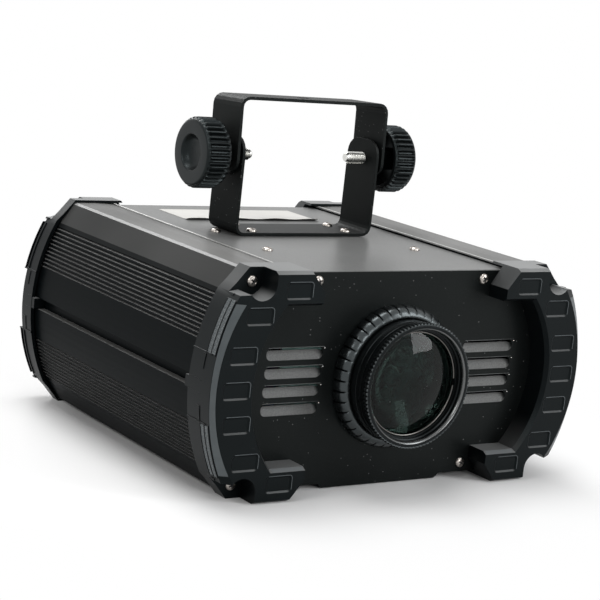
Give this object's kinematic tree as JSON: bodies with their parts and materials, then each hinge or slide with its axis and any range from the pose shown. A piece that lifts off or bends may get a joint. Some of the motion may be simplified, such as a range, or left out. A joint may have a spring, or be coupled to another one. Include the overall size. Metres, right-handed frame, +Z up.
{
  "type": "water wave effect light",
  "caption": "Black metal-cased water wave effect projector with corner guards, louvred front, focusing lens and a tilting hanging bracket clamped by ribbed knobs.",
  "frame": {"origin": "middle of the light's footprint, at the height that its corner guards stand on", "axes": "+X across the case, to the right as seen from the front; +Y from the lens to the rear panel; +Z up"},
  "size_m": [0.332, 0.3096, 0.2668],
  "materials": {
    "powder_coat": "fine-grained satin powder coat",
    "anodised": "black anodised, satin",
    "guard_plastic": "moulded, satin",
    "knob_plastic": "moulded, matt",
    "zinc": "zinc plated",
    "nickel": "nickel plated",
    "lens_metal": "black, satin",
    "coated_glass": "coated",
    "ripple_glass": "rippled",
    "colour_glass": "dichroic",
    "plated_steel": "zinc plated sheet",
    "plain_aluminium": "as machined",
    "circuit_board": "solder resist",
    "moulded_black": "moulded",
    "button_plastic": "moulded",
    "display_pane": "tinted, clear"
  },
  "bodies": {
    "case": {"front_panel": "powder_coat", "rear_panel": "powder_coat", "top_plate": "powder_coat", "bottom_plate": "powder_coat", "left_side_extrusion": "anodised", "right_side_extrusion": "anodised", "front_left_guard": "guard_plastic", "front_right_guard": "guard_plastic", "rear_left_guard": "guard_plastic", "rear_right_guard": "guard_plastic", "lower_bracket": "powder_coat", "left_toothed_washer": "knob_plastic", "right_toothed_washer": "knob_plastic", "lens_mount": "lens_metal", "optical_bench": "plated_steel", "led_engine": "plain_aluminium", "condenser_lens": "coated_glass", "heatsink": "plain_aluminium", "ripple_wheel_motor": "plated_steel", "colour_wheel_motor": "plated_steel", "fan_frame": "moulded_black", "power_supply_board": "circuit_board", "control_board": "circuit_board", "mains_inlet": "moulded_black", "dmx_in_socket": "moulded_black", "dmx_out_socket": "moulded_black", "display_window": "display_pane", "upper_left_guard_screw": "nickel", "lower_left_guard_screw": "nickel", "upper_right_guard_screw": "nickel", "lower_right_guard_screw": "nickel", "upper_left_panel_screw": "nickel", "lower_left_panel_screw": "nickel", "upper_right_panel_screw": "nickel", "lower_right_panel_screw": "nickel", "front_left_bracket_screw": "nickel", "rear_left_bracket_screw": "nickel", "front_right_bracket_screw": "nickel", "rear_right_bracket_screw": "nickel", "front_left_plate_screw": "nickel", "rear_left_plate_screw": "nickel", "front_right_plate_screw": "nickel", "rear_right_plate_screw": "nickel"},
    "hanging_bracket": {"upper_bracket": "powder_coat"},
    "left_handwheel": {"left_knob": "knob_plastic", "left_knob_stud": "zinc"},
    "right_handwheel": {"right_knob": "knob_plastic", "right_knob_stud": "zinc"},
    "focus_collar": {"focus_ring": "knob_plastic"},
    "lens_tube": {"lens_barrel": "lens_metal", "front_lens": "coated_glass"},
    "ripple_disc": {"ripple_wheel": "ripple_glass"},
    "colour_disc": {"colour_wheel": "colour_glass"},
    "fan_impeller": {"fan_rotor": "moulded_black"},
    "fuse_carrier": {"fuse_drawer": "moulded_black"},
    "menu_key": {"menu_button": "button_plastic"},
    "down_key": {"down_button": "button_plastic"},
    "up_key": {"up_button": "button_plastic"},
    "enter_key": {"enter_button": "button_plastic"}
  },
  "joints": [
    {"name": "bracket_tilt", "type": "hinge", "parent": "case", "child": "hanging_bracket", "pos_m": [0, 0.02825, 0.221], "axis": [1, 0, 0], "range_deg": [-115, 120]},
    {"name": "left_knob_turn", "type": "hinge", "parent": "case", "child": "left_handwheel", "pos_m": [-0.0875, 0.02825, 0.221], "axis": [-1, 0, 0], "continuous": true},
    {"name": "right_knob_turn", "type": "hinge", "parent": "case", "child": "right_handwheel", "pos_m": [0.0875, 0.02825, 0.221], "axis": [1, 0, 0], "continuous": true},
    {"name": "focus_turn", "type": "hinge", "parent": "case", "child": "focus_collar", "pos_m": [0, -0.12225, 0.0825], "axis": [0, -1, 0], "range_deg": [-180, 90]},
    {"name": "lens_slide", "type": "slide", "parent": "case", "child": "lens_tube", "axis": [0, -1, 0], "range_m": [-0.008, 0.004]},
    {"name": "ripple_spin", "type": "hinge", "parent": "case", "child": "ripple_disc", "pos_m": [0.038, -0.09255, 0.0825], "axis": [0, 1, 0], "continuous": true},
    {"name": "colour_spin", "type": "hinge", "parent": "case", "child": "colour_disc", "pos_m": [-0.036, -0.04295, 0.0705], "axis": [0, 1, 0], "continuous": true},
    {"name": "fan_spin", "type": "hinge", "parent": "case", "child": "fan_impeller", "pos_m": [0.066, 0.11595, 0.0825], "axis": [0, 1, 0], "continuous": true},
    {"name": "fuse_drawer_slide", "type": "slide", "parent": "case", "child": "fuse_carrier", "axis": [0, 1, 0], "range_m": [0, 0.014]},
    {"name": "menu_press", "type": "slide", "parent": "case", "child": "menu_key", "axis": [0, -1, 0], "range_m": [0, 0.0008], "stiffness_N_per_m": 800},
    {"name": "down_press", "type": "slide", "parent": "case", "child": "down_key", "axis": [0, -1, 0], "range_m": [0, 0.0008], "stiffness_N_per_m": 800},
    {"name": "up_press", "type": "slide", "parent": "case", "child": "up_key", "axis": [0, -1, 0], "range_m": [0, 0.0008], "stiffness_N_per_m": 800},
    {"name": "enter_press", "type": "slide", "parent": "case", "child": "enter_key", "axis": [0, -1, 0], "range_m": [0, 0.0008], "stiffness_N_per_m": 800}
  ],
  "couplings": [
    {"joint": "lens_slide", "follows": "focus_turn", "m_per_rad": 0.002546}
  ]
}
